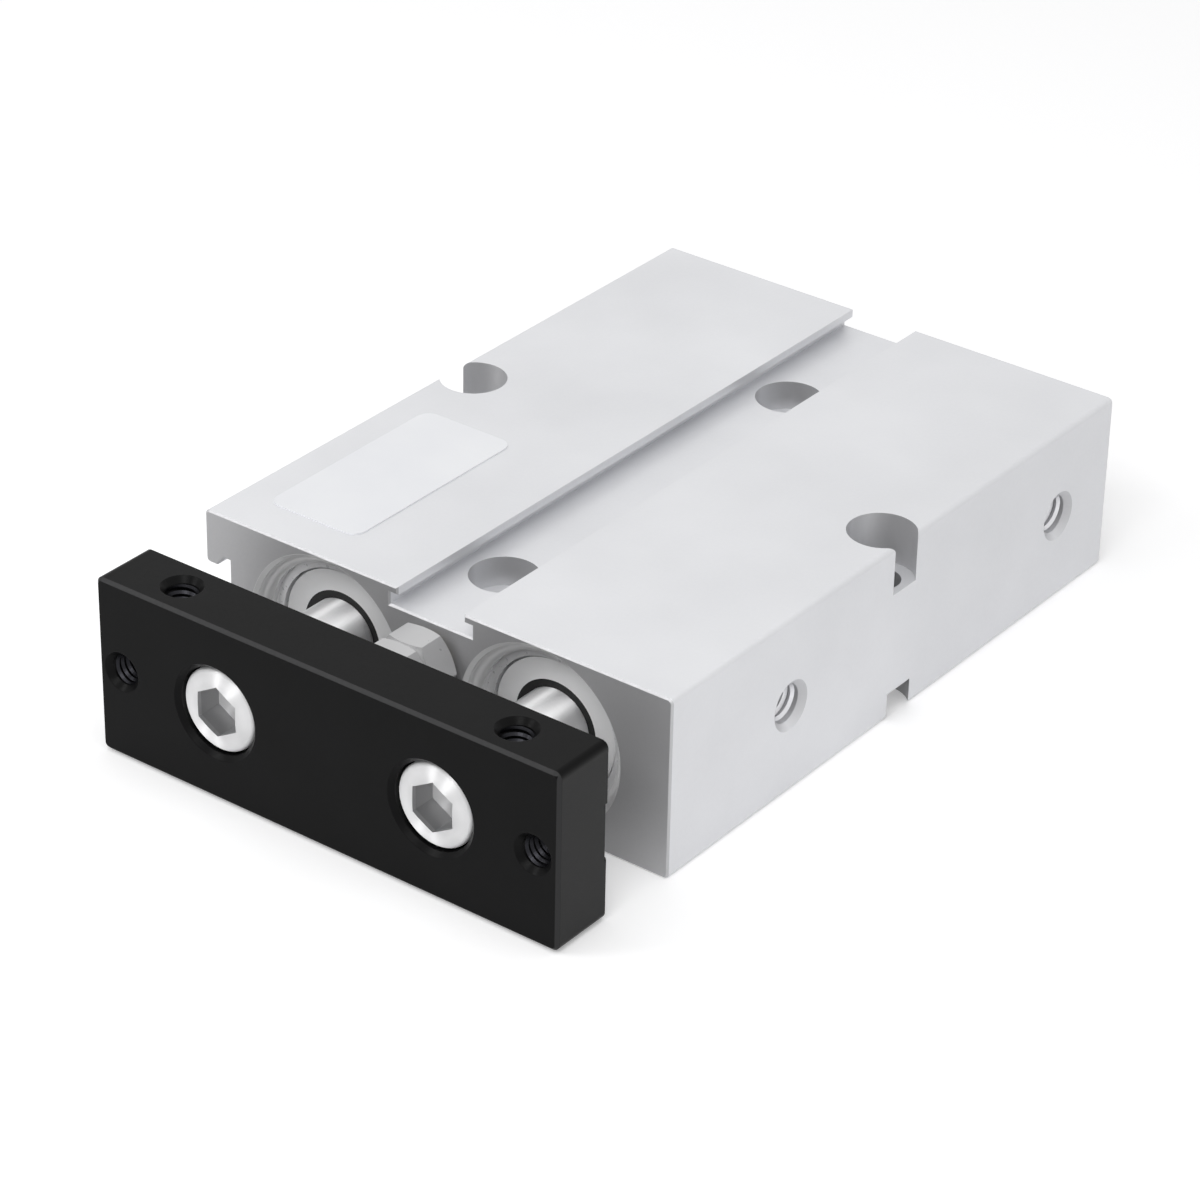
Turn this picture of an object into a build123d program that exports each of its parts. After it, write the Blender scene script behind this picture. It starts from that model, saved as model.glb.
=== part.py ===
from build123d import *
import math
import os

os.makedirs("parts", exist_ok=True)

# Twin rod pneumatic cylinder, bore 16, retracted. Lengths are in millimetres.
# X runs across the two rods, the rods push out along -Y, and +Z is up.
# The origin is the centre of the whole cylinder's footprint, on its underside.

# Extruded body
body_width = 58.0
body_height = 20.0
body_length = 78.0
body_corner_radius = 0.6
end_edge_chamfer = 0.2

# Two cylinder bores side by side
rod_pitch = 26.8
piston_bore = 16.0
cover_bore = 16.6
front_seat_depth = 16.5
rear_seat_depth = 7.0
air_passage_bore = 2.5

# Turned recess at the mouth of each bore, and the groove behind it
mouth_bore = 18.7
mouth_depth = 1.6
mouth_edge_chamfer = 0.4
ring_land = 0.7
ring_groove_bore = 17.8

# Tee grooves along the top and the underside
groove_mouth = 8.2
groove_width = 10.2
groove_depth = 2.2
groove_lip = 0.9

# Sensor slot along the left side
slot_mouth = 8.0
slot_width = 10.2
slot_depth = 3.1
slot_lip = 1.4
slot_hook = 1.1
slot_edge_radius = 0.5

# Mounting holes through the body, bored out for screw heads at both ends
mounting_hole = 4.4
mounting_head_bore = 7.2
top_head_bore_depth = 5.5
bottom_head_bore_depth = 3.0
side_hole_pitch = 52.0
centre_hole_from_front = 11.5
centre_hole_pitch = 48.5

# Air ports in the right side, tapped M5
port_hole = 4.2
port_chamfer = 0.65
front_port_from_front = 19.7
rear_port_from_back = 9.7

# Rods and the pistons on them
rod_diameter = 8.0
rod_end_chamfer = 0.4
stroke = 25.0
spigot_diameter = 5.0
piston_front_length = 5.5
magnet_length = 3.5
piston_rear_length = 5.0
magnet_outer = 15.0
magnet_hub = 9.6
piston_seal_length = 2.4
piston_seal_groove = 11.6
wear_ring_length = 2.2
wear_ring_groove = 14.4
piston_nut_flats = 8.0
piston_nut_height = 4.0
spigot_beyond_nut = 0.5
rod_thread_depth = 14.0

# Covers, bushes, seals and bumpers
cover_boss_bore = 14.3
cover_boss_height = 0.7
cover_neck = 13.0
bush_outer = 9.5
bush_length = 8.8
rod_seal_outer = 9.7
rod_seal_depth = 3.5
seal_relief = 0.2
cover_throat = 8.7
o_ring_groove_bottom = 13.9
o_ring_groove_width = 1.7
o_ring_setback = 1.1
bumper_bore = 9.2
bumper_length = 1.5
nut_pocket = 10.2
nut_pocket_run = 2.5

# Retaining rings
ring_thickness = 1.0
ring_inner = 14.8
ring_gap_angle = 50.0
ring_lug_hole = 1.0
ring_lug_angle = 8.0

# Fixing plate
plate_width = 57.0
plate_height = 19.6
plate_thickness = 7.6
plate_gap = 8.8
plate_corner_radius = 0.8
plate_edge_chamfer = 0.35
plate_channel_height = 6.3
plate_channel_depth = 0.6
rod_seat_depth = 1.0
plate_tapped_hole = 3.3
tapped_hole_chamfer = 0.55
front_tapped_pitch = 51.0
edge_tapped_pitch = 41.2

# Screws that hold the plate on the rods, M5
screw_diameter = 5.0
screw_head = 9.0
screw_head_height = 3.9
screw_head_crown = 0.6
screw_head_shoulder = 0.5
screw_head_recess = 0.1
screw_head_bore = 9.4
screw_bore_chamfer = 0.5
screw_grip = 12.0
screw_socket_flats = 4.8
screw_socket_depth = 3.2

# Stop bolt between the rods, with its lock nut and bumper, M4
stop_bolt_height = 13.8
stop_bolt_diameter = 4.0
stop_bolt_flats = 7.0
stop_head_height = 3.6
stop_nut_height = 4.55
stop_bolt_depth_in_plate = 5.2
stop_tapped_depth = 6.0
stop_bumper_diameter = 5.0
stop_bumper_length = 1.0
stop_bumper_stand_out = 0.25
hex_cone_inset = 0.1

# Slope of drill points and of the cones on hexagons, in degrees
cone_angle = 30.0

# Bare foil label on the left half of the top
label_width = 11.5
label_length = 25.0
label_thickness = 0.12
label_corner_radius = 1.5
label_from_left = 4.0
label_from_front = 5.0

# Clearances
seat_clearance = 0.03
thread_clearance = 0.02
running_clearance = 0.03
piston_clearance = 0.08
seal_clearance = 0.04
bumper_clearance = 0.3
pin_clearance = 0.1
ring_side_clearance = 0.05
pick_margin = 0.01

# Places along Y, from the front of the plate to the back of the body
total_length = plate_thickness + plate_gap + body_length
plate_front = -total_length / 2
plate_back = plate_front + plate_thickness
body_front = plate_back + plate_gap
body_back = body_front + body_length
mid_height = body_height / 2
front_shoulder = body_front + front_seat_depth
rear_shoulder = body_back - rear_seat_depth

# Places along Y that the front and rear of each bore share, measured inwards from the end face
ring_face_depth = mouth_depth + ring_land
ring_groove_width = ring_thickness + ring_side_clearance
cover_face_depth = ring_face_depth + ring_thickness

# Piston places at rest: the rear bumper all but touches the piston
piston_length = piston_front_length + magnet_length + piston_rear_length
nut_end_room = piston_nut_height + spigot_beyond_nut + nut_pocket_run
piston_back = rear_shoulder - nut_end_room
piston_front = piston_back - piston_length
front_bumper_end = piston_front - stroke - bumper_clearance
rear_bumper_end = piston_back + bumper_clearance

rod_sides = {"left": -rod_pitch / 2, "right": rod_pitch / 2}
cone_slope = math.tan(math.radians(cone_angle))


def bore_plane(rod_x):
    """Sketch plane through a rod's axis: local x is the radius, local y is the place along Y."""
    return Plane(origin=(rod_x, 0, mid_height), x_dir=(1, 0, 0), z_dir=(0, 0, 1))


def bore_axis(rod_x):
    return Axis((rod_x, 0, mid_height), (0, 1, 0))


def face_plane(place_y, origin_x=0.0, origin_z=mid_height):
    """Upright sketch plane at one place along Y, facing the front."""
    return Plane(origin=(origin_x, place_y, origin_z), x_dir=(1, 0, 0), z_dir=(0, -1, 0))


def save(piece, name):
    piece.part.label = name
    export_step(piece.part, f"parts/{name}.step")
    print(f"{name}: {piece.part.volume:.1f} mm3")


def turned(rod_x, outline):
    """Turn a closed outline of radius and place about a rod's axis, as one piece."""
    with BuildPart() as piece:
        with BuildSketch(bore_plane(rod_x)):
            with BuildLine():
                Polyline(*outline, close=True)
            make_face()
        revolve(axis=bore_axis(rod_x))
    return piece


def washer(rod_x, inner, outer, start, end):
    """A plain turned ring, by its diameters and its two ends."""
    return turned(rod_x, [(inner / 2, start), (outer / 2, start), (outer / 2, end), (inner / 2, end)])


def hex_shape(flats):
    """Hexagon with its flats at the top and bottom."""
    RegularPolygon(radius=flats / 2, side_count=6, major_radius=False, rotation=0)


# Body

mouth_corner_radius = (mouth_bore - cover_bore) / 2
slot_lip_x = -body_width / 2 + slot_lip
slot_hook_x = slot_lip_x + slot_hook
slot_floor_x = -body_width / 2 + slot_depth
groove_floor = body_height / 2 - groove_depth
groove_lip_level = body_height / 2 - groove_lip
side_hole_y = (body_front + body_back) / 2
centre_hole_front_y = body_front + centre_hole_from_front
centre_hole_back_y = centre_hole_front_y + centre_hole_pitch
front_port_y = body_front + front_port_from_front
rear_port_y = body_back - rear_port_from_back
mounting_holes = (
    (-side_hole_pitch / 2, side_hole_y),
    (side_hole_pitch / 2, side_hole_y),
    (0, centre_hole_front_y),
    (0, centre_hole_back_y),
)


def bore_end(end_y, inward):
    """Outline points of one bore end, from the axis at the end face to the cover's seat."""
    face = end_y
    mouth_floor = end_y + inward * mouth_depth
    ring_front = end_y + inward * ring_face_depth
    ring_back = ring_front + inward * ring_groove_width
    return {
        "face": (0, face),
        "edge": (mouth_bore / 2 + mouth_edge_chamfer, face),
        "wall": (mouth_bore / 2, face + inward * mouth_edge_chamfer),
        "corner": (mouth_bore / 2, mouth_floor - inward * mouth_corner_radius),
        "land": (cover_bore / 2, mouth_floor),
        "groove": [
            (cover_bore / 2, ring_front),
            (ring_groove_bore / 2, ring_front),
            (ring_groove_bore / 2, ring_back),
            (cover_bore / 2, ring_back),
        ],
    }


with BuildPart() as body:
    with BuildSketch(face_plane(body_back)):
        Rectangle(body_width, body_height)
        fillet(vertices(), body_corner_radius)
        for side in (1, -1):
            with BuildLine():
                Polyline(
                    (0, side * body_height / 2),
                    (groove_mouth / 2, side * body_height / 2),
                    (groove_mouth / 2, side * groove_lip_level),
                    (groove_width / 2, side * groove_lip_level),
                    (groove_width / 2, side * groove_floor),
                    (0, side * groove_floor),
                )
                mirror(about=Plane.YZ)
            make_face(mode=Mode.SUBTRACT)
        with BuildLine():
            Polyline(
                (-body_width / 2, 0),
                (-body_width / 2, slot_mouth / 2),
                (slot_lip_x, slot_mouth / 2),
                (slot_hook_x, slot_width / 2),
                (slot_floor_x, slot_width / 2),
                (slot_floor_x, 0),
            )
            mirror(about=Plane.XZ)
        make_face(mode=Mode.SUBTRACT)
        slot_reach = slot_mouth / 2 + pick_margin
        lip_edges = vertices().filter_by_position(Axis.X, -body_width, slot_lip_x + pick_margin)
        lip_edges = lip_edges.filter_by_position(Axis.Y, -slot_reach, slot_reach)
        fillet(lip_edges, slot_edge_radius)
    extrude(amount=body_length)
    chamfer(faces().sort_by(Axis.Y)[0].outer_wire().edges(), end_edge_chamfer)
    chamfer(faces().sort_by(Axis.Y)[-1].outer_wire().edges(), end_edge_chamfer)

    for rod_x in rod_sides.values():
        front = bore_end(body_front, 1)
        rear = bore_end(body_back, -1)
        with BuildSketch(bore_plane(rod_x)):
            with BuildLine():
                Polyline(front["face"], front["edge"], front["wall"], front["corner"])
                RadiusArc(front["corner"], front["land"], -mouth_corner_radius)
                Polyline(
                    front["land"],
                    *front["groove"],
                    (cover_bore / 2, front_shoulder),
                    (piston_bore / 2, front_shoulder),
                    (piston_bore / 2, rear_shoulder),
                    (cover_bore / 2, rear_shoulder),
                    *reversed(rear["groove"]),
                    rear["land"],
                )
                RadiusArc(rear["land"], rear["corner"], -mouth_corner_radius)
                Polyline(rear["corner"], rear["wall"], rear["edge"], rear["face"], front["face"])
            make_face()
        revolve(axis=bore_axis(rod_x), mode=Mode.SUBTRACT)

    for hole_x, hole_y in mounting_holes:
        with BuildSketch(Plane.XY):
            with Locations((hole_x, hole_y)):
                Circle(mounting_hole / 2)
        extrude(amount=body_height, mode=Mode.SUBTRACT)
        with BuildSketch(Plane.XY):
            with Locations((hole_x, hole_y)):
                Circle(mounting_head_bore / 2)
        extrude(amount=bottom_head_bore_depth, mode=Mode.SUBTRACT)
        with BuildSketch(Plane.XY.offset(body_height - top_head_bore_depth)):
            with Locations((hole_x, hole_y)):
                Circle(mounting_head_bore / 2)
        extrude(amount=top_head_bore_depth, mode=Mode.SUBTRACT)

    for port_y in (front_port_y, rear_port_y):
        port_plane = Plane(origin=(body_width / 2, port_y, mid_height), x_dir=(0, 1, 0), z_dir=(1, 0, 0))
        with BuildSketch(port_plane):
            Circle(port_hole / 2 + port_chamfer)
        with BuildSketch(port_plane.offset(-port_chamfer)):
            Circle(port_hole / 2)
        loft(mode=Mode.SUBTRACT)
        with BuildSketch(port_plane):
            Circle(port_hole / 2)
        extrude(amount=-(body_width / 2 - rod_pitch / 2), mode=Mode.SUBTRACT)
        with BuildSketch(port_plane):
            Circle(air_passage_bore / 2)
        extrude(amount=-(body_width / 2 + rod_pitch / 2), mode=Mode.SUBTRACT)
save(body, "body")

with BuildPart() as label:
    with BuildSketch(Plane.XY.offset(body_height)):
        with Locations((-body_width / 2 + label_from_left, body_front + label_from_front)):
            RectangleRounded(label_width, label_length, label_corner_radius, align=(Align.MIN, Align.MIN))
    extrude(amount=label_thickness)
save(label, "label")


# Pieces that stay in each bore

cover_radius = cover_bore / 2 - seat_clearance
front_cover_face = body_front + cover_face_depth
rear_cover_face = body_back - cover_face_depth
rod_seal_end = front_cover_face - cover_boss_height + rod_seal_depth
bush_end = rod_seal_end + bush_length
front_neck_end = front_bumper_end - bumper_length
rear_neck_end = rear_bumper_end + bumper_length
front_o_ring_end = front_shoulder - o_ring_setback
rear_o_ring_start = rear_shoulder + o_ring_setback


def make_front_cover(rod_x):
    return turned(
        rod_x,
        [
            (rod_seal_outer / 2, front_cover_face - cover_boss_height),
            (cover_boss_bore / 2, front_cover_face - cover_boss_height),
            (cover_boss_bore / 2, front_cover_face),
            (cover_radius, front_cover_face),
            (cover_radius, front_o_ring_end - o_ring_groove_width),
            (o_ring_groove_bottom / 2, front_o_ring_end - o_ring_groove_width),
            (o_ring_groove_bottom / 2, front_o_ring_end),
            (cover_radius, front_o_ring_end),
            (cover_radius, front_shoulder),
            (cover_neck / 2, front_shoulder),
            (cover_neck / 2, front_neck_end),
            (cover_throat / 2, front_neck_end),
            (cover_throat / 2, bush_end),
            (bush_outer / 2, bush_end),
            (bush_outer / 2, rod_seal_end),
            (rod_seal_outer / 2, rod_seal_end),
        ],
    )


def make_rear_cover(rod_x):
    return turned(
        rod_x,
        [
            (0, rear_cover_face + cover_boss_height),
            (cover_boss_bore / 2, rear_cover_face + cover_boss_height),
            (cover_boss_bore / 2, rear_cover_face),
            (cover_radius, rear_cover_face),
            (cover_radius, rear_o_ring_start + o_ring_groove_width),
            (o_ring_groove_bottom / 2, rear_o_ring_start + o_ring_groove_width),
            (o_ring_groove_bottom / 2, rear_o_ring_start),
            (cover_radius, rear_o_ring_start),
            (cover_radius, rear_shoulder),
            (cover_neck / 2, rear_shoulder),
            (cover_neck / 2, rear_neck_end),
            (nut_pocket / 2, rear_neck_end),
            (nut_pocket / 2, rear_shoulder),
            (0, rear_shoulder),
        ],
    )


def make_rod_seal(rod_x):
    """Lipped seal: a full outer band, a notch at the back and a wiping edge at the front."""
    start = front_cover_face - cover_boss_height
    wiping_radius = rod_diameter / 2 + seal_clearance
    valley_radius = (wiping_radius + rod_seal_outer / 2) / 2
    lip_root = rod_seal_end - rod_seal_depth / 3
    return turned(
        rod_x,
        [
            (wiping_radius, start),
            (rod_seal_outer / 2, start),
            (rod_seal_outer / 2, rod_seal_end),
            (valley_radius + seal_relief, rod_seal_end),
            (valley_radius, lip_root),
            (wiping_radius + seal_relief, rod_seal_end - seal_relief),
            (wiping_radius, rod_seal_end - 2 * seal_relief),
            (wiping_radius + seal_relief, lip_root - seal_relief),
            (wiping_radius + seal_relief, start + 3 * seal_relief),
        ],
    )


def make_o_ring(rod_x, middle_y):
    """Round section ring that fills its groove between the cover and the bore."""
    section_radius = (cover_bore - o_ring_groove_bottom) / 4 - thread_clearance
    centre_radius = (cover_bore + o_ring_groove_bottom) / 4
    with BuildPart() as o_ring:
        with BuildSketch(bore_plane(rod_x)):
            with Locations((centre_radius, middle_y)):
                Circle(section_radius)
        revolve(axis=bore_axis(rod_x))
    return o_ring


def make_retaining_ring(rod_x, front_y):
    """Inside snap ring, open at the bottom, with a lug and a pliers hole at each end."""
    outer = ring_groove_bore / 2 - thread_clearance
    inner = ring_inner / 2
    lug_radius = (inner + outer) / 2
    lug_angle = math.radians(ring_gap_angle / 2 + ring_lug_angle)
    with BuildPart() as retaining_ring:
        with BuildSketch(face_plane(front_y, rod_x)):
            Circle(outer)
            Circle(inner, mode=Mode.SUBTRACT)
            with BuildLine():
                gap_reach = 2 * outer
                gap_half = math.radians(ring_gap_angle / 2)
                Polyline(
                    (0, 0),
                    (gap_reach * math.sin(gap_half), -gap_reach * math.cos(gap_half)),
                    (-gap_reach * math.sin(gap_half), -gap_reach * math.cos(gap_half)),
                    close=True,
                )
            make_face(mode=Mode.SUBTRACT)
            for side in (-1, 1):
                with Locations((side * lug_radius * math.sin(lug_angle), -lug_radius * math.cos(lug_angle))):
                    Circle(ring_lug_hole / 2, mode=Mode.SUBTRACT)
        extrude(amount=-ring_thickness)
    return retaining_ring


for side, rod_x in rod_sides.items():
    save(make_front_cover(rod_x), f"front_cover_{side}")
    save(make_rear_cover(rod_x), f"rear_cover_{side}")
    save(make_rod_seal(rod_x), f"rod_seal_{side}")
    bush_bore = rod_diameter + 2 * running_clearance
    save(washer(rod_x, bush_bore, bush_outer, rod_seal_end, bush_end), f"rod_bush_{side}")
    save(make_o_ring(rod_x, front_o_ring_end - o_ring_groove_width / 2), f"front_o_ring_{side}")
    save(make_o_ring(rod_x, rear_o_ring_start + o_ring_groove_width / 2), f"rear_o_ring_{side}")
    front_ring_y = body_front + ring_face_depth
    rear_ring_y = body_back - ring_face_depth - ring_thickness
    save(make_retaining_ring(rod_x, front_ring_y), f"front_retaining_ring_{side}")
    save(make_retaining_ring(rod_x, rear_ring_y), f"rear_retaining_ring_{side}")
    save(washer(rod_x, bumper_bore, cover_neck, front_neck_end, front_bumper_end), f"front_bumper_{side}")
    save(washer(rod_x, nut_pocket, cover_neck, rear_bumper_end, rear_neck_end), f"rear_bumper_{side}")


# Rods and pistons

rod_front = plate_back - rod_seat_depth
spigot_end = piston_back + piston_nut_height + spigot_beyond_nut
magnet_start = piston_front + piston_front_length
magnet_end = magnet_start + magnet_length
seal_start = piston_front + (piston_front_length - piston_seal_length) / 2
wear_start = magnet_end + (piston_rear_length - wear_ring_length) / 2
spigot_bore = spigot_diameter + 2 * thread_clearance
hub_bore = magnet_hub + 2 * thread_clearance
piston_diameter = piston_bore - 2 * piston_clearance


def make_rod(rod_x):
    """Ground rod: tapped for the plate screw in front, stepped down behind to carry the piston."""
    tapped_radius = screw_diameter / 2 + thread_clearance
    tapped_end = rod_front + rod_thread_depth
    return turned(
        rod_x,
        [
            (tapped_radius, rod_front),
            (rod_diameter / 2 - rod_end_chamfer, rod_front),
            (rod_diameter / 2, rod_front + rod_end_chamfer),
            (rod_diameter / 2, piston_front),
            (spigot_diameter / 2, piston_front),
            (spigot_diameter / 2, spigot_end - rod_end_chamfer),
            (spigot_diameter / 2 - rod_end_chamfer, spigot_end),
            (0, spigot_end),
            (0, tapped_end + tapped_radius * cone_slope),
            (tapped_radius, tapped_end),
        ],
    )


def make_piston_front(rod_x):
    return turned(
        rod_x,
        [
            (spigot_bore / 2, piston_front),
            (piston_diameter / 2, piston_front),
            (piston_diameter / 2, seal_start),
            (piston_seal_groove / 2, seal_start),
            (piston_seal_groove / 2, seal_start + piston_seal_length),
            (piston_diameter / 2, seal_start + piston_seal_length),
            (piston_diameter / 2, magnet_start),
            (magnet_hub / 2, magnet_start),
            (magnet_hub / 2, magnet_end),
            (spigot_bore / 2, magnet_end),
        ],
    )


def make_piston_rear(rod_x):
    return turned(
        rod_x,
        [
            (spigot_bore / 2, magnet_end),
            (piston_diameter / 2, magnet_end),
            (piston_diameter / 2, wear_start),
            (wear_ring_groove / 2, wear_start),
            (wear_ring_groove / 2, wear_start + wear_ring_length),
            (piston_diameter / 2, wear_start + wear_ring_length),
            (piston_diameter / 2, piston_back),
            (spigot_bore / 2, piston_back),
        ],
    )


def make_piston_seal(rod_x):
    """Seal that works both ways: two lips with a valley between them."""
    lip_radius = piston_bore / 2 - seal_clearance
    base_radius = piston_seal_groove / 2
    end = seal_start + piston_seal_length
    middle = (seal_start + end) / 2
    return turned(
        rod_x,
        [
            (base_radius, seal_start),
            (lip_radius - 2 * seal_relief, seal_start),
            (lip_radius, seal_start + seal_relief),
            (lip_radius, seal_start + 3 * seal_relief),
            (lip_radius - 3 * seal_relief, middle),
            (lip_radius, end - 3 * seal_relief),
            (lip_radius, end - seal_relief),
            (lip_radius - 2 * seal_relief, end),
            (base_radius, end),
        ],
    )


for side, rod_x in rod_sides.items():
    save(make_rod(rod_x), f"rod_{side}")
    save(make_piston_front(rod_x), f"piston_front_{side}")
    save(make_piston_rear(rod_x), f"piston_rear_{side}")
    save(make_piston_seal(rod_x), f"piston_seal_{side}")
    save(washer(rod_x, hub_bore, magnet_outer, magnet_start, magnet_end), f"magnet_{side}")
    wear_outer = piston_bore - 2 * seal_clearance
    wear_end = wear_start + wear_ring_length
    save(washer(rod_x, wear_ring_groove, wear_outer, wear_start, wear_end), f"wear_ring_{side}")

with BuildPart() as piston_nuts:
    for rod_x in rod_sides.values():
        with BuildSketch(face_plane(piston_back, rod_x)):
            hex_shape(piston_nut_flats)
            Circle(spigot_bore / 2, mode=Mode.SUBTRACT)
        extrude(amount=-piston_nut_height)
save(piston_nuts, "piston_nuts")


# Fixing plate and its screws

head_seat = plate_front + screw_head_recess + screw_head_height

with BuildPart() as fixing_plate:
    with BuildSketch(face_plane(plate_back)):
        Rectangle(plate_width, plate_height)
        fillet(vertices(), plate_corner_radius)
        for rod_x in rod_sides.values():
            with Locations((rod_x, 0)):
                Circle(screw_diameter / 2 + pin_clearance, mode=Mode.SUBTRACT)
    extrude(amount=plate_thickness)
    chamfer(faces().sort_by(Axis.Y)[0].outer_wire().edges(), plate_edge_chamfer)
    chamfer(faces().sort_by(Axis.Y)[-1].outer_wire().edges(), plate_edge_chamfer)
    with BuildSketch(face_plane(plate_back)):
        Rectangle(plate_width, plate_channel_height)
    extrude(amount=plate_channel_depth, mode=Mode.SUBTRACT)
    for rod_x in rod_sides.values():
        with BuildSketch(face_plane(plate_back, rod_x)):
            Circle(rod_diameter / 2 + thread_clearance)
        extrude(amount=rod_seat_depth, mode=Mode.SUBTRACT)
        with BuildSketch(bore_plane(rod_x)):
            with BuildLine():
                Polyline(
                    (0, plate_front),
                    (screw_head_bore / 2 + screw_bore_chamfer, plate_front),
                    (screw_head_bore / 2, plate_front + screw_bore_chamfer),
                    (screw_head_bore / 2, head_seat),
                    (0, head_seat),
                    close=True,
                )
            make_face()
        revolve(axis=bore_axis(rod_x), mode=Mode.SUBTRACT)
    with BuildSketch(face_plane(plate_back, 0, stop_bolt_height)):
        Circle(stop_bolt_diameter / 2 + thread_clearance)
    extrude(amount=stop_tapped_depth, mode=Mode.SUBTRACT)
    with Locations(face_plane(plate_front)):
        with GridLocations(front_tapped_pitch, 0, 2, 1):
            CounterSinkHole(plate_tapped_hole / 2, plate_tapped_hole / 2 + tapped_hole_chamfer)
    for facing in (1, -1):
        edge = Plane(
            origin=(0, (plate_front + plate_back) / 2, mid_height + facing * plate_height / 2),
            x_dir=(1, 0, 0),
            z_dir=(0, 0, facing),
        )
        with Locations(edge):
            with GridLocations(edge_tapped_pitch, 0, 2, 1):
                CounterSinkHole(plate_tapped_hole / 2, plate_tapped_hole / 2 + tapped_hole_chamfer)
save(fixing_plate, "fixing_plate")

head_top = plate_front + screw_head_recess
head_radius = screw_head / 2
shank_radius = screw_diameter / 2
crown_radius = (head_radius**2 + screw_head_crown**2) / (2 * screw_head_crown)
shank_end = head_seat + screw_grip

with BuildPart() as plate_screws:
    for rod_x in rod_sides.values():
        with BuildSketch(bore_plane(rod_x)):
            with BuildLine():
                RadiusArc((0, head_top), (head_radius, head_top + screw_head_crown), -crown_radius)
                Polyline(
                    (head_radius, head_top + screw_head_crown),
                    (head_radius, head_seat),
                    (shank_radius, head_seat),
                    (shank_radius, shank_end),
                    (0, shank_end),
                    (0, head_top),
                )
            make_face()
        revolve(axis=bore_axis(rod_x))
    rims = edges().filter_by(lambda edge: edge.is_closed)
    head_rims = rims.filter_by(lambda edge: edge.radius > (shank_radius + head_radius) / 2)
    fillet(head_rims.group_by(Axis.Y)[0], screw_head_shoulder)
    for rod_x in rod_sides.values():
        with BuildSketch(face_plane(head_top, rod_x)):
            RegularPolygon(radius=screw_socket_flats / 2, side_count=6, major_radius=False, rotation=30)
        extrude(amount=-screw_socket_depth, mode=Mode.SUBTRACT)
save(plate_screws, "plate_screws")


# Stop bolt, lock nut and bumper

bumper_face = body_front - bumper_clearance
stop_head_back = bumper_face - stop_bumper_stand_out
stop_head_front = stop_head_back - stop_head_height
stop_axis = Axis((0, 0, stop_bolt_height), (0, 1, 0))


def make_hex_bar(start, height):
    """Hexagon bar on the stop bolt's axis, its ends turned to a cone as a bolt head's are."""
    corner = stop_bolt_flats / 2 / math.cos(math.pi / 6)
    cone_start = stop_bolt_flats / 2 - hex_cone_inset
    cone_run = (corner - cone_start) * cone_slope
    end = start + height
    with BuildPart() as hex_bar:
        with BuildSketch(face_plane(start, 0, stop_bolt_height)):
            hex_shape(stop_bolt_flats)
        extrude(amount=-height)
        with BuildSketch(Plane(origin=(0, 0, stop_bolt_height), x_dir=(1, 0, 0), z_dir=(0, 0, 1))):
            with BuildLine():
                Polyline(
                    (0, start),
                    (cone_start, start),
                    (corner, start + cone_run),
                    (corner, end - cone_run),
                    (cone_start, end),
                    (0, end),
                    close=True,
                )
            make_face()
        revolve(axis=stop_axis, mode=Mode.INTERSECT)
    return hex_bar


stop_head_blank = make_hex_bar(stop_head_front, stop_head_height)
with BuildPart() as stop_bolt:
    add(stop_head_blank.part)
    with BuildSketch(face_plane(stop_head_front, 0, stop_bolt_height)):
        Circle(stop_bolt_diameter / 2)
    extrude(amount=stop_head_front - plate_back + stop_bolt_depth_in_plate)
    with BuildSketch(face_plane(stop_head_back, 0, stop_bolt_height)):
        Circle(stop_bumper_diameter / 2)
    extrude(amount=stop_bumper_length - stop_bumper_stand_out, mode=Mode.SUBTRACT)
save(stop_bolt, "stop_bolt")

lock_nut_blank = make_hex_bar(plate_back, stop_nut_height)
with BuildPart() as stop_lock_nut:
    add(lock_nut_blank.part)
    with BuildSketch(face_plane(plate_back, 0, stop_bolt_height)):
        Circle(stop_bolt_diameter / 2 + thread_clearance)
    extrude(amount=-stop_nut_height, mode=Mode.SUBTRACT)
save(stop_lock_nut, "stop_lock_nut")

with BuildPart() as stop_bumper:
    with BuildSketch(face_plane(bumper_face, 0, stop_bolt_height)):
        Circle(stop_bumper_diameter / 2)
    extrude(amount=stop_bumper_length)
    fillet(edges().sort_by(Axis.Y)[-1], stop_bumper_stand_out / 2)
save(stop_bumper, "stop_bumper")
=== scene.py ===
import math

import bpy
from mathutils import Matrix, Vector


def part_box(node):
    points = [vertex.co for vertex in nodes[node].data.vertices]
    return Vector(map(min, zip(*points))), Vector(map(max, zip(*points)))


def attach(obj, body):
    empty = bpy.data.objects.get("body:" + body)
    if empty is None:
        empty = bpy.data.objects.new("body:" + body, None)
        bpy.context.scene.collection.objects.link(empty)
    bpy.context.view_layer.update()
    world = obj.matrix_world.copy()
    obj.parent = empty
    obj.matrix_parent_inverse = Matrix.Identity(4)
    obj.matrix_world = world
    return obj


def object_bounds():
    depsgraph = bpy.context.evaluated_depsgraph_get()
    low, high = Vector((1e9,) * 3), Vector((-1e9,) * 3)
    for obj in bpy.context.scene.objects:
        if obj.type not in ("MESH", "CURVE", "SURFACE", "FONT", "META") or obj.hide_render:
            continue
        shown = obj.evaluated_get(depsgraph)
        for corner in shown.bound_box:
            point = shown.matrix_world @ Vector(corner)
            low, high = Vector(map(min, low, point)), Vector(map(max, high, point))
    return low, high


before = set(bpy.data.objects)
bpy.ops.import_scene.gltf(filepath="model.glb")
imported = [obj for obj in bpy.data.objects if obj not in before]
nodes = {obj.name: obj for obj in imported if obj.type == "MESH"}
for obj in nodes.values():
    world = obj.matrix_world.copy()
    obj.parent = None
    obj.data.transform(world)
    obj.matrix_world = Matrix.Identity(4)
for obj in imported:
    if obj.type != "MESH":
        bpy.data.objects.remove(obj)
cad_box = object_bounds()

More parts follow.
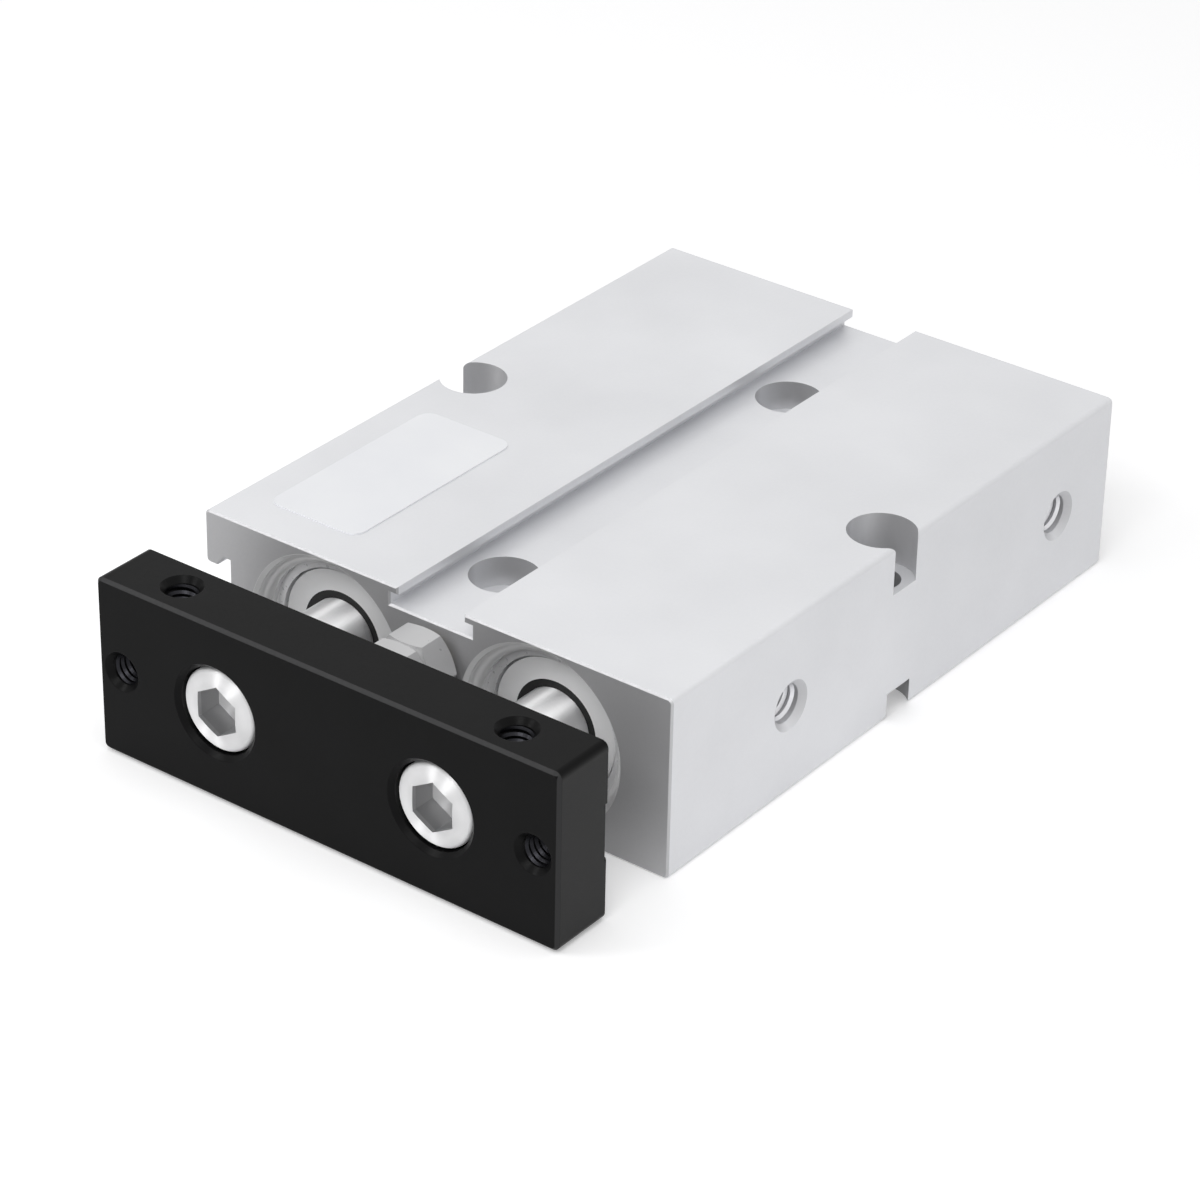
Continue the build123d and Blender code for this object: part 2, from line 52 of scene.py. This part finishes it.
# Sizes in metres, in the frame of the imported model
MM = 0.001
HOUSING = "housing"
SLIDER = "slider"
SIDES = ("left", "right")

body_low, body_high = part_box("body")
plate_low, plate_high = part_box("fixing_plate")
BODY_FRONT = body_low.y
BODY_BACK = body_high.y
BODY_RIGHT = body_high.x
PLATE_FRONT = plate_low.y
PLATE_MIDDLE = (plate_low + plate_high) / 2
ROD_X = {}
for side in SIDES:
    rod_low, rod_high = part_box(f"rod_{side}")
    ROD_X[side] = (rod_low.x + rod_high.x) / 2
AXIS_HEIGHT = (rod_low.z + rod_high.z) / 2
HALF_PITCH = abs(ROD_X["right"])

# Places that the solids give no box for
PORT_FROM_FRONT = 19.7 * MM
PORT_FROM_BACK = 9.7 * MM
PORT_RADIUS = 2.1 * MM
PORT_CHAMFER = 0.65 * MM
PORT_PITCH = 0.8 * MM
PORT_THREAD_DEPTH = 0.28 * MM
PORT_THREAD_LENGTH = 6.0 * MM
PORT_THREAD_START = 0.3 * MM
TAPPED_RADIUS = 1.65 * MM
TAPPED_PITCH = 0.7 * MM
TAPPED_MOUTH = 0.63 * MM
TAPPED_THREAD_DEPTH = 0.22 * MM
TAPPED_THREAD_START = 0.2 * MM
FRONT_THREAD_LENGTH = 5.6 * MM
EDGE_THREAD_LENGTH = 6.0 * MM
FRONT_TAPPED_X = 25.5 * MM
EDGE_TAPPED_X = 20.6 * MM
MOUTH_RADIUS = 9.78 * MM
SOCKET_START = 0.75 * MM
HEAD_INNER_RADIUS = 3.0 * MM
PLATE_CHAMFER = 0.35 * MM

# How softly one tone of a surface gives way to the next
TONE_EDGE = 0.03 * MM
HEAD_TONE_EDGE = 0.6 * MM
SOCKET_TONE_EDGE = 0.05 * MM


# Materials

def make_material(slot_name):
    """A fresh node material named after its slot, with its node tree and main shader."""
    material = bpy.data.materials.new(slot_name)
    material.use_nodes = True
    tree = material.node_tree
    shader = tree.nodes["Principled BSDF"]
    return material, tree, shader


def add_node(tree, kind, **values):
    node = tree.nodes.new(kind)
    for name, value in values.items():
        setattr(node, name, value)
    return node


def feed(tree, socket, value):
    """Set an input to a number, or link another node's output to it."""
    if isinstance(value, (int, float)):
        socket.default_value = value
    else:
        tree.links.new(value, socket)


def maths(tree, operation, first, second=None):
    """One Math node. Each input is a number or another node's socket."""
    node = add_node(tree, "ShaderNodeMath", operation=operation)
    for socket, value in zip(node.inputs, (first, second)):
        if value is not None:
            feed(tree, socket, value)
    return node.outputs[0]


def vector(tree, x, y, z):
    """A vector whose parts are numbers or sockets."""
    node = add_node(tree, "ShaderNodeCombineXYZ")
    for socket, value in zip(node.inputs, (x, y, z)):
        feed(tree, socket, value)
    return node.outputs[0]


def separate(tree, vector_socket):
    """The three parts of a vector."""
    node = add_node(tree, "ShaderNodeSeparateXYZ")
    tree.links.new(vector_socket, node.inputs[0])
    return node.outputs


def object_position(tree):
    """The point's place in the model's own frame, whole and in its three parts."""
    coordinates = add_node(tree, "ShaderNodeTexCoord").outputs["Object"]
    return coordinates, separate(tree, coordinates)


def stretched(tree, coordinates, scale):
    """Coordinates scaled along each axis, for grain that runs one way."""
    mapping = add_node(tree, "ShaderNodeMapping")
    mapping.inputs["Scale"].default_value = scale
    tree.links.new(coordinates, mapping.inputs["Vector"])
    return mapping.outputs[0]


def noise(tree, coordinates, scale, detail=2.0, roughness=0.5):
    texture = add_node(tree, "ShaderNodeTexNoise")
    texture.inputs["Scale"].default_value = scale
    texture.inputs["Detail"].default_value = detail
    texture.inputs["Roughness"].default_value = roughness
    tree.links.new(coordinates, texture.inputs["Vector"])
    return texture.outputs["Fac"]


def spread(tree, value, low, high):
    """Carry noise of about 0.25 to 0.75 onto low to high."""
    ramp = add_node(tree, "ShaderNodeMapRange")
    ramp.inputs["From Min"].default_value = 0.25
    ramp.inputs["From Max"].default_value = 0.75
    ramp.inputs["To Min"].default_value = low
    ramp.inputs["To Max"].default_value = high
    tree.links.new(value, ramp.inputs["Value"])
    return ramp.outputs["Result"]


def tint(tree, value, dark, light):
    """Mix two colours by noise of about 0.25 to 0.75."""
    mix = add_node(tree, "ShaderNodeMix", data_type="RGBA")
    mix.inputs["A"].default_value = (*dark, 1)
    mix.inputs["B"].default_value = (*light, 1)
    tree.links.new(spread(tree, value, 0.0, 1.0), mix.inputs["Factor"])
    return mix.outputs["Result"]


def bump(tree, height, strength, distance, normal=None):
    """Small relief from a height, on top of another normal where one is given."""
    node = add_node(tree, "ShaderNodeBump")
    node.inputs["Strength"].default_value = strength
    node.inputs["Distance"].default_value = distance
    tree.links.new(height, node.inputs["Height"])
    if normal is not None:
        tree.links.new(normal, node.inputs["Normal"])
    return node.outputs["Normal"]


def rounded_edges(tree, radius):
    """Normal that rolls over sharp edges, so that they catch the light."""
    node = add_node(tree, "ShaderNodeBevel", samples=6)
    node.inputs["Radius"].default_value = radius
    return node.outputs["Normal"]


def bore_distance(tree, place):
    """Distance from the nearer rod axis, for tool marks that go round it."""
    across = maths(tree, "SUBTRACT", maths(tree, "ABSOLUTE", place["X"]), HALF_PITCH)
    up = maths(tree, "SUBTRACT", place["Z"], AXIS_HEIGHT)
    square = maths(tree, "ADD", maths(tree, "MULTIPLY", across, across), maths(tree, "MULTIPLY", up, up))
    return maths(tree, "SQRT", square)


def rings(tree, distance, pitch):
    """Fine grooves at an even step of a distance."""
    return maths(tree, "SINE", maths(tree, "MULTIPLY", distance, 2 * math.pi / pitch))


def paint(prefixes, material):
    """Give a material to every CAD node whose name starts with one of the prefixes."""
    for name, node in nodes.items():
        if name.startswith(prefixes):
            node.data.materials.clear()
            node.data.materials.append(material)


def stepped(tree, value, edge, softness):
    """1 where a value is under an edge and 0 past it, with a soft change between."""
    ramp = add_node(tree, "ShaderNodeMapRange", interpolation_type="SMOOTHSTEP")
    ramp.inputs["From Min"].default_value = edge - softness
    ramp.inputs["From Max"].default_value = edge + softness
    ramp.inputs["To Min"].default_value = 1.0
    ramp.inputs["To Max"].default_value = 0.0
    tree.links.new(value, ramp.inputs["Value"])
    return ramp.outputs["Result"]


def between(tree, mask, outside, inside):
    """One number, or another where a mask is 1. Each is a number or a socket."""
    mix = add_node(tree, "ShaderNodeMix", data_type="FLOAT")
    tree.links.new(mask, mix.inputs["Factor"])
    feed(tree, mix.inputs["A"], outside)
    feed(tree, mix.inputs["B"], inside)
    return mix.outputs["Result"]


def recolour(tree, mask, outside, inside):
    """The colour of a socket, or a plain colour where a mask is 1."""
    mix = add_node(tree, "ShaderNodeMix", data_type="RGBA")
    tree.links.new(mask, mix.inputs["Factor"])
    tree.links.new(outside, mix.inputs["A"])
    mix.inputs["B"].default_value = (*inside, 1)
    return mix.outputs["Result"]


def body_material():
    """Clear anodised extrusion: blasted grain, faint die lines, turned marks on the end faces, which are
    darker by painted shade, and bored mouths, lighter partly by their machined finish and partly by painted
    light.
    """
    material, tree, shader = make_material("body_anodised")
    coordinates, place = object_position(tree)
    from_axis = bore_distance(tree, place)
    blast = noise(tree, coordinates, 2600, detail=3)
    die_lines = noise(tree, stretched(tree, coordinates, (1, 0.012, 1)), 1500, detail=2)
    clouds = noise(tree, coordinates, 55, detail=3)
    cutter = rings(tree, from_axis, 0.45 * MM)
    facing = separate(tree, add_node(tree, "ShaderNodeNewGeometry").outputs["Normal"])
    end_face = maths(tree, "ABSOLUTE", facing["Y"])
    long_face = maths(tree, "SUBTRACT", 1.0, end_face)
    mouth = stepped(tree, from_axis, MOUTH_RADIUS, TONE_EDGE)
    extruded = tint(tree, clouds, (0.72, 0.725, 0.745), (0.79, 0.795, 0.815))
    # Painted shade: the end faces get a much darker colour than the long faces, standing in for the shade
    # on the front.
    painted_end_shade = recolour(tree, end_face, extruded, (0.47, 0.47, 0.48))
    # The mouths get a lighter colour: partly their own machined finish, partly painted light standing in
    # for the light in the mouths.
    tree.links.new(recolour(tree, mouth, painted_end_shade, (0.87, 0.87, 0.875)), shader.inputs["Base Color"])
    metallic = between(tree, mouth, between(tree, end_face, 0.5, 0.45), 0.25)
    roughness = between(tree, mouth, spread(tree, blast, 0.40, 0.54), 0.24)
    tree.links.new(metallic, shader.inputs["Metallic"])
    tree.links.new(roughness, shader.inputs["Roughness"])
    soft = rounded_edges(tree, 0.05 * MM)
    grained = bump(tree, blast, 0.35, 0.012 * MM, soft)
    lined = bump(tree, maths(tree, "MULTIPLY", die_lines, long_face), 0.25, 0.02 * MM, grained)
    turned = bump(tree, maths(tree, "MULTIPLY", cutter, end_face), 0.12, 0.006 * MM, lined)
    tree.links.new(turned, shader.inputs["Normal"])
    return material


def turned_material(slot_name, dark, light, metallic, roughness, mark_pitch, mark_strength):
    """Lathe-turned metal: fine grooves round the rod axis and along it."""
    material, tree, shader = make_material(slot_name)
    coordinates, place = object_position(tree)
    clouds = noise(tree, coordinates, 240, detail=3)
    radial = rings(tree, bore_distance(tree, place), mark_pitch)
    along = rings(tree, place["Y"], mark_pitch)
    marks = maths(tree, "ADD", radial, along)
    shader.inputs["Metallic"].default_value = metallic
    tree.links.new(tint(tree, clouds, dark, light), shader.inputs["Base Color"])
    tree.links.new(spread(tree, clouds, roughness - 0.05, roughness + 0.07), shader.inputs["Roughness"])
    tree.links.new(bump(tree, marks, mark_strength, 0.004 * MM), shader.inputs["Normal"])
    return material


def rod_material():
    """Hard chrome, ground round the shaft: the marks draw its reflections out along the axis."""
    material, tree, shader = make_material("rod_chrome")
    coordinates, _ = object_position(tree)
    marks = noise(tree, stretched(tree, coordinates, (0.02, 1, 0.02)), 6000, detail=2)
    shader.inputs["Metallic"].default_value = 0.85
    tree.links.new(tint(tree, marks, (0.83, 0.83, 0.835), (0.86, 0.86, 0.865)), shader.inputs["Base Color"])
    tree.links.new(spread(tree, marks, 0.52, 0.56), shader.inputs["Roughness"])
    shader.inputs["Anisotropic"].default_value = 1.0
    tree.links.new(vector(tree, 0.0, 1.0, 0.0), shader.inputs["Tangent"])
    return material


def screw_material():
    """Bright plated screws, their heads turned: the marks draw reflections out from the axis. The heads
    carry painted light: a lighter rim, a dimmer middle and painted shade in the socket.
    """
    material, tree, shader = make_material("screw_steel")
    coordinates, place = object_position(tree)
    from_axis = bore_distance(tree, place)
    nearer_axis = maths(tree, "MULTIPLY", maths(tree, "SIGN", place["X"]), HALF_PITCH)
    across = maths(tree, "SUBTRACT", place["X"], nearer_axis)
    up = maths(tree, "SUBTRACT", place["Z"], AXIS_HEIGHT)
    clouds = noise(tree, coordinates, 500, detail=3)
    shader.inputs["Metallic"].default_value = 1.0
    # Painted shade: everything deeper than the head's face, the socket with it, gets a darker colour.
    socket = tint(tree, clouds, (0.60, 0.60, 0.605), (0.66, 0.66, 0.665))
    face = stepped(tree, place["Y"], PLATE_FRONT + SOCKET_START, SOCKET_TONE_EDGE)
    bright = recolour(tree, face, socket, (0.88, 0.88, 0.885))
    # Painted highlight: the head's face is lighter out at its rim than in its middle.
    inner = stepped(tree, from_axis, HEAD_INNER_RADIUS, HEAD_TONE_EDGE)
    painted_dim_middle = maths(tree, "MULTIPLY", face, inner)
    tree.links.new(recolour(tree, painted_dim_middle, bright, (0.80, 0.80, 0.805)), shader.inputs["Base Color"])
    tree.links.new(spread(tree, clouds, 0.46, 0.54), shader.inputs["Roughness"])
    shader.inputs["Anisotropic"].default_value = 0.95
    tree.links.new(vector(tree, across, 0.0, up), shader.inputs["Tangent"])
    tree.links.new(bump(tree, rings(tree, from_axis, 0.4 * MM), 0.4, 0.004 * MM), shader.inputs["Normal"])
    return material


def grained_material(slot_name, dark, light, metallic, roughness, grain_scale, grain_strength,
                     edge=0.1 * MM):
    """Plain finish with a fine grain and a slow change of tone. An edge of 0 stays sharp."""
    material, tree, shader = make_material(slot_name)
    coordinates, _ = object_position(tree)
    grain = noise(tree, coordinates, grain_scale, detail=3)
    clouds = noise(tree, coordinates, 130, detail=3)
    shader.inputs["Metallic"].default_value = metallic
    tree.links.new(tint(tree, clouds, dark, light), shader.inputs["Base Color"])
    tree.links.new(spread(tree, grain, roughness - 0.05, roughness + 0.06), shader.inputs["Roughness"])
    edges = rounded_edges(tree, edge) if edge else None
    tree.links.new(bump(tree, grain, grain_strength, 0.01 * MM, edges), shader.inputs["Normal"])
    return material


def plate_material():
    """Black anodised plate, its end faces lighter by painted light and a painted highlight along its edges.
    """
    material, tree, shader = make_material("plate_black")
    coordinates, place = object_position(tree)
    grain = noise(tree, coordinates, 2400, detail=3)
    clouds = noise(tree, coordinates, 130, detail=3)
    rolled = rounded_edges(tree, 0.1 * MM)
    facing = separate(tree, add_node(tree, "ShaderNodeNewGeometry").outputs["Normal"])
    # Painted light: the end faces, which face along X, get a lighter colour, as where light falls from the
    # side.
    painted_lit_ends = maths(tree, "POWER", maths(tree, "ABSOLUTE", facing["X"]), 8.0)
    insets = {}
    for axis, middle, reach in zip("XYZ", PLATE_MIDDLE, (plate_high - plate_low) / 2):
        offset = maths(tree, "ABSOLUTE", maths(tree, "SUBTRACT", place[axis], middle))
        insets[axis] = maths(tree, "SUBTRACT", reach, offset)
    # Painted highlight: a lighter band of colour along the plate's edges.
    from_outline = maths(tree, "MINIMUM", insets["X"], insets["Z"])
    near_outline = stepped(tree, from_outline, PLATE_CHAMFER, TONE_EDGE)
    near_face = stepped(tree, insets["Y"], PLATE_CHAMFER, TONE_EDGE)
    painted_edge_highlight = maths(tree, "MULTIPLY", near_outline, near_face)
    black = tint(tree, clouds, (0.003, 0.003, 0.0031), (0.0045, 0.0045, 0.0047))
    ends = recolour(tree, painted_lit_ends, black, (0.028, 0.028, 0.028))
    tree.links.new(recolour(tree, painted_edge_highlight, ends, (0.040, 0.040, 0.041)), shader.inputs["Base Color"])
    tree.links.new(spread(tree, grain, 0.28, 0.39), shader.inputs["Roughness"])
    shader.inputs["Specular IOR Level"].default_value = 0.07
    tree.links.new(bump(tree, grain, 0.14, 0.01 * MM, rolled), shader.inputs["Normal"])
    return material


paint(("body",), body_material())
paint(("front_cover", "rear_cover"), turned_material(
    "cover_aluminium", (0.90, 0.90, 0.905), (0.93, 0.93, 0.935), 0.05, 0.34, 0.12 * MM, 0.03))
paint(("piston_front", "piston_rear"), turned_material(
    "piston_aluminium", (0.56, 0.56, 0.57), (0.64, 0.64, 0.65), 0.9, 0.30, 0.14 * MM, 0.10))
paint(("rod_left", "rod_right"), rod_material())
paint(("rod_bush",), turned_material(
    "bush_bronze", (0.42, 0.24, 0.09), (0.52, 0.32, 0.13), 0.9, 0.34, 0.1 * MM, 0.08))
paint(("fixing_plate",), plate_material())
paint(("plate_screws",), screw_material())
paint(("stop_bolt", "stop_lock_nut", "piston_nuts"), grained_material(
    "zinc_steel", (0.54, 0.54, 0.545), (0.58, 0.58, 0.585), 0.35, 0.32, 1500, 0.01, 0))
paint(("front_retaining_ring", "rear_retaining_ring"), grained_material(
    "ring_steel", (0.79, 0.79, 0.80), (0.83, 0.83, 0.84), 0.25, 0.30, 1500, 0.005, 0))
paint(("rod_seal", "front_o_ring", "rear_o_ring", "piston_seal"), grained_material(
    "seal_rubber", (0.010, 0.010, 0.010), (0.018, 0.018, 0.018), 0.0, 0.52, 2000, 0.15))
paint(("front_bumper", "rear_bumper", "stop_bumper"), grained_material(
    "bumper_urethane", (0.42, 0.36, 0.20), (0.50, 0.44, 0.26), 0.0, 0.42, 1200, 0.10))
paint(("magnet",), grained_material(
    "magnet_grey", (0.06, 0.06, 0.06), (0.10, 0.10, 0.10), 0.4, 0.6, 1500, 0.2))
paint(("wear_ring",), grained_material(
    "wear_ring_plastic", (0.50, 0.47, 0.40), (0.58, 0.55, 0.48), 0.0, 0.5, 1500, 0.1))
paint(("label",), grained_material(
    "label_foil", (0.83, 0.84, 0.87), (0.87, 0.88, 0.90), 0.12, 0.34, 500, 0.03, 0.04 * MM))


# Threads

STEPS_PER_TURN = 40
ROOT_SINK = 0.1
ROOT_HALF_WIDTH = 0.48
CREST_HALF_WIDTH = 0.08
FADE_TURNS = 0.5


def helix(name, centre, direction, radius, depth, pitch, length, slot_name, body):
    """Thread ridge wound along a hole's wall.

    It starts at centre, on the hole's axis, and runs length along direction. Its root is sunk into
    the wall by a share of its depth, its widths are shares of the pitch, and both ends fade out.
    """
    direction = Vector(direction).normalized()
    across = direction.orthogonal().normalized()
    beside = direction.cross(across)
    crest = radius - depth
    root = radius + depth * ROOT_SINK
    turns = length / pitch
    steps = int(turns * STEPS_PER_TURN)
    vertices = []
    faces = []
    section = (
        (root, -ROOT_HALF_WIDTH), (crest, -CREST_HALF_WIDTH),
        (crest, CREST_HALF_WIDTH), (root, ROOT_HALF_WIDTH),
    )
    for step in range(steps + 1):
        angle = 2 * math.pi * step / STEPS_PER_TURN
        nearer_end = min(step, steps - step) / STEPS_PER_TURN
        fade = min(1.0, nearer_end / FADE_TURNS)
        outward = across * math.cos(angle) + beside * math.sin(angle)
        travel = pitch * step / STEPS_PER_TURN
        for ring_radius, share in section:
            faded = root + (ring_radius - root) * fade
            vertices.append(Vector(centre) + outward * faded + direction * (travel + share * pitch))
        if step:
            base = 4 * step
            for corner in range(3):
                faces.append((base - 4 + corner, base + corner, base + corner + 1, base - 3 + corner))
            faces.append((base - 1, base + 3, base, base - 4))
    faces.append((0, 1, 2, 3))
    last = 4 * steps
    faces.append((last + 3, last + 2, last + 1, last))
    mesh = bpy.data.meshes.new(name)
    mesh.from_pydata([tuple(vertex) for vertex in vertices], [], faces)
    mesh.validate()
    piece = bpy.data.objects.new(name, mesh)
    bpy.context.scene.collection.objects.link(piece)
    mesh.materials.append(bpy.data.materials[slot_name])
    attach(piece, body)


for name, port_y in (("front", BODY_FRONT + PORT_FROM_FRONT), ("rear", BODY_BACK - PORT_FROM_BACK)):
    helix(
        f"port_thread_{name}",
        (BODY_RIGHT - PORT_CHAMFER - PORT_THREAD_START, port_y, AXIS_HEIGHT), (-1, 0, 0),
        PORT_RADIUS, PORT_THREAD_DEPTH, PORT_PITCH, PORT_THREAD_LENGTH, "body_anodised", HOUSING,
    )

tapped_start = TAPPED_MOUTH + TAPPED_THREAD_START
for side, sign in (("left", -1), ("right", 1)):
    helix(
        f"plate_front_thread_{side}",
        (sign * FRONT_TAPPED_X, PLATE_FRONT + tapped_start, PLATE_MIDDLE.z), (0, 1, 0),
        TAPPED_RADIUS, TAPPED_THREAD_DEPTH, TAPPED_PITCH, FRONT_THREAD_LENGTH, "plate_black", SLIDER,
    )
    for edge, edge_z, down in (("top", plate_high.z, -1), ("bottom", plate_low.z, 1)):
        helix(
            f"plate_{edge}_thread_{side}",
            (sign * EDGE_TAPPED_X, PLATE_MIDDLE.y, edge_z + down * tapped_start), (0, 0, down),
            TAPPED_RADIUS, TAPPED_THREAD_DEPTH, TAPPED_PITCH, EDGE_THREAD_LENGTH, "plate_black", SLIDER,
        )


# Floor, light and camera

FLOOR_SIZE = 4.0
FLOOR_GAP = 0.02 * MM
FLOOR_LIFT = 0.27
WORLD_LIGHT = 0.45


def background_rays(tree):
    """1 for a ray that shows the surroundings: to the camera, in a reflection or through glass."""
    rays = add_node(tree, "ShaderNodeLightPath")
    direct = maths(tree, "MAXIMUM", rays.outputs["Is Camera Ray"], rays.outputs["Is Transmission Ray"])
    return maths(tree, "MAXIMUM", direct, rays.outputs["Is Glossy Ray"])


def make_floor():
    """Pale floor under the object. It looks white and keeps the soft shadow."""
    material, tree, shader = make_material("floor_paper")
    shader.inputs["Base Color"].default_value = (0.93, 0.93, 0.935, 1)
    shader.inputs["Roughness"].default_value = 0.9
    shader.inputs["Specular IOR Level"].default_value = 0.1
    shader.inputs["Emission Color"].default_value = (1, 1, 1, 1)
    glow = maths(tree, "MULTIPLY", background_rays(tree), FLOOR_LIFT)
    tree.links.new(glow, shader.inputs["Emission Strength"])
    half = FLOOR_SIZE / 2
    mesh = bpy.data.meshes.new("floor")
    corners = [(-half, -half, 0), (half, -half, 0), (half, half, 0), (-half, half, 0)]
    mesh.from_pydata(corners, [], [(0, 1, 2, 3)])
    floor = bpy.data.objects.new("floor", mesh)
    floor.location.z = cad_box[0][2] - FLOOR_GAP
    bpy.context.scene.collection.objects.link(floor)
    mesh.materials.append(material)


def make_world():
    """Soft sky: white to the camera and in reflections, plain light on the object."""
    world = bpy.data.worlds.new("studio")
    bpy.context.scene.world = world
    world.use_nodes = True
    tree = world.node_tree
    background = tree.nodes["Background"]
    background.inputs["Color"].default_value = (1, 1, 1, 1)
    strength = add_node(tree, "ShaderNodeMapRange")
    strength.inputs["To Min"].default_value = WORLD_LIGHT
    strength.inputs["To Max"].default_value = 1.0
    tree.links.new(background_rays(tree), strength.inputs["Value"])
    tree.links.new(strength.outputs["Result"], background.inputs["Strength"])


def area_light(name, place, target, size, power):
    """A rectangular lamp that faces its target."""
    light = bpy.data.lights.new(name, "AREA")
    light.shape = "RECTANGLE"
    light.size, light.size_y = size
    light.energy = power
    lamp = bpy.data.objects.new(name, light)
    lamp.location = place
    lamp.rotation_euler = (Vector(target) - Vector(place)).to_track_quat("-Z", "Y").to_euler()
    bpy.context.scene.collection.objects.link(lamp)


# The camera's place and turn, from the photograph's corners
CAMERA_AZIMUTH = 36.745
CAMERA_ELEVATION = 30.297
CAMERA_ROLL = 1.157
CAMERA_PLACE = (225.73 * MM, BODY_FRONT - 275.08 * MM, 228.21 * MM)
FOCAL_PIXELS = 4288.6
PHOTO_PIXELS = 1200
SENSOR_WIDTH = 36


def make_camera():
    """The camera that took the photograph: its place, its turn and its field of view."""
    azimuth = math.radians(CAMERA_AZIMUTH)
    elevation = math.radians(CAMERA_ELEVATION)
    roll = math.radians(CAMERA_ROLL)
    back = Vector((
        math.sin(azimuth) * math.cos(elevation),
        -math.cos(azimuth) * math.cos(elevation),
        math.sin(elevation),
    ))
    level_right = (-back).cross(Vector((0, 0, 1))).normalized()
    level_up = level_right.cross(-back)
    right = math.cos(roll) * level_right + math.sin(roll) * level_up
    up = math.cos(roll) * level_up - math.sin(roll) * level_right
    data = bpy.data.cameras.new("camera")
    data.sensor_width = SENSOR_WIDTH
    data.lens = SENSOR_WIDTH * FOCAL_PIXELS / PHOTO_PIXELS
    data.clip_start = 0.01
    data.clip_end = 20
    camera = bpy.data.objects.new("camera", data)
    turn = Matrix((right, up, back)).transposed()
    camera.matrix_world = Matrix.Translation(CAMERA_PLACE) @ turn.to_4x4()
    bpy.context.scene.collection.objects.link(camera)
    bpy.context.scene.camera = camera


make_floor()
make_world()
area_light("top_softbox", (0.04, -0.08, 0.55), (0, 0, 0), (0.5, 0.4), 0.78)
area_light("left_key", (-0.36, -0.36, 0.42), (0, -0.03, 0.01), (0.18, 0.18), 0.65)
area_light("front_fill", (0.14, -0.40, 0.44), (0, -0.03, 0.01), (0.24, 0.24), 0.8)
make_camera()
bpy.context.scene.view_settings.view_transform = "Standard"
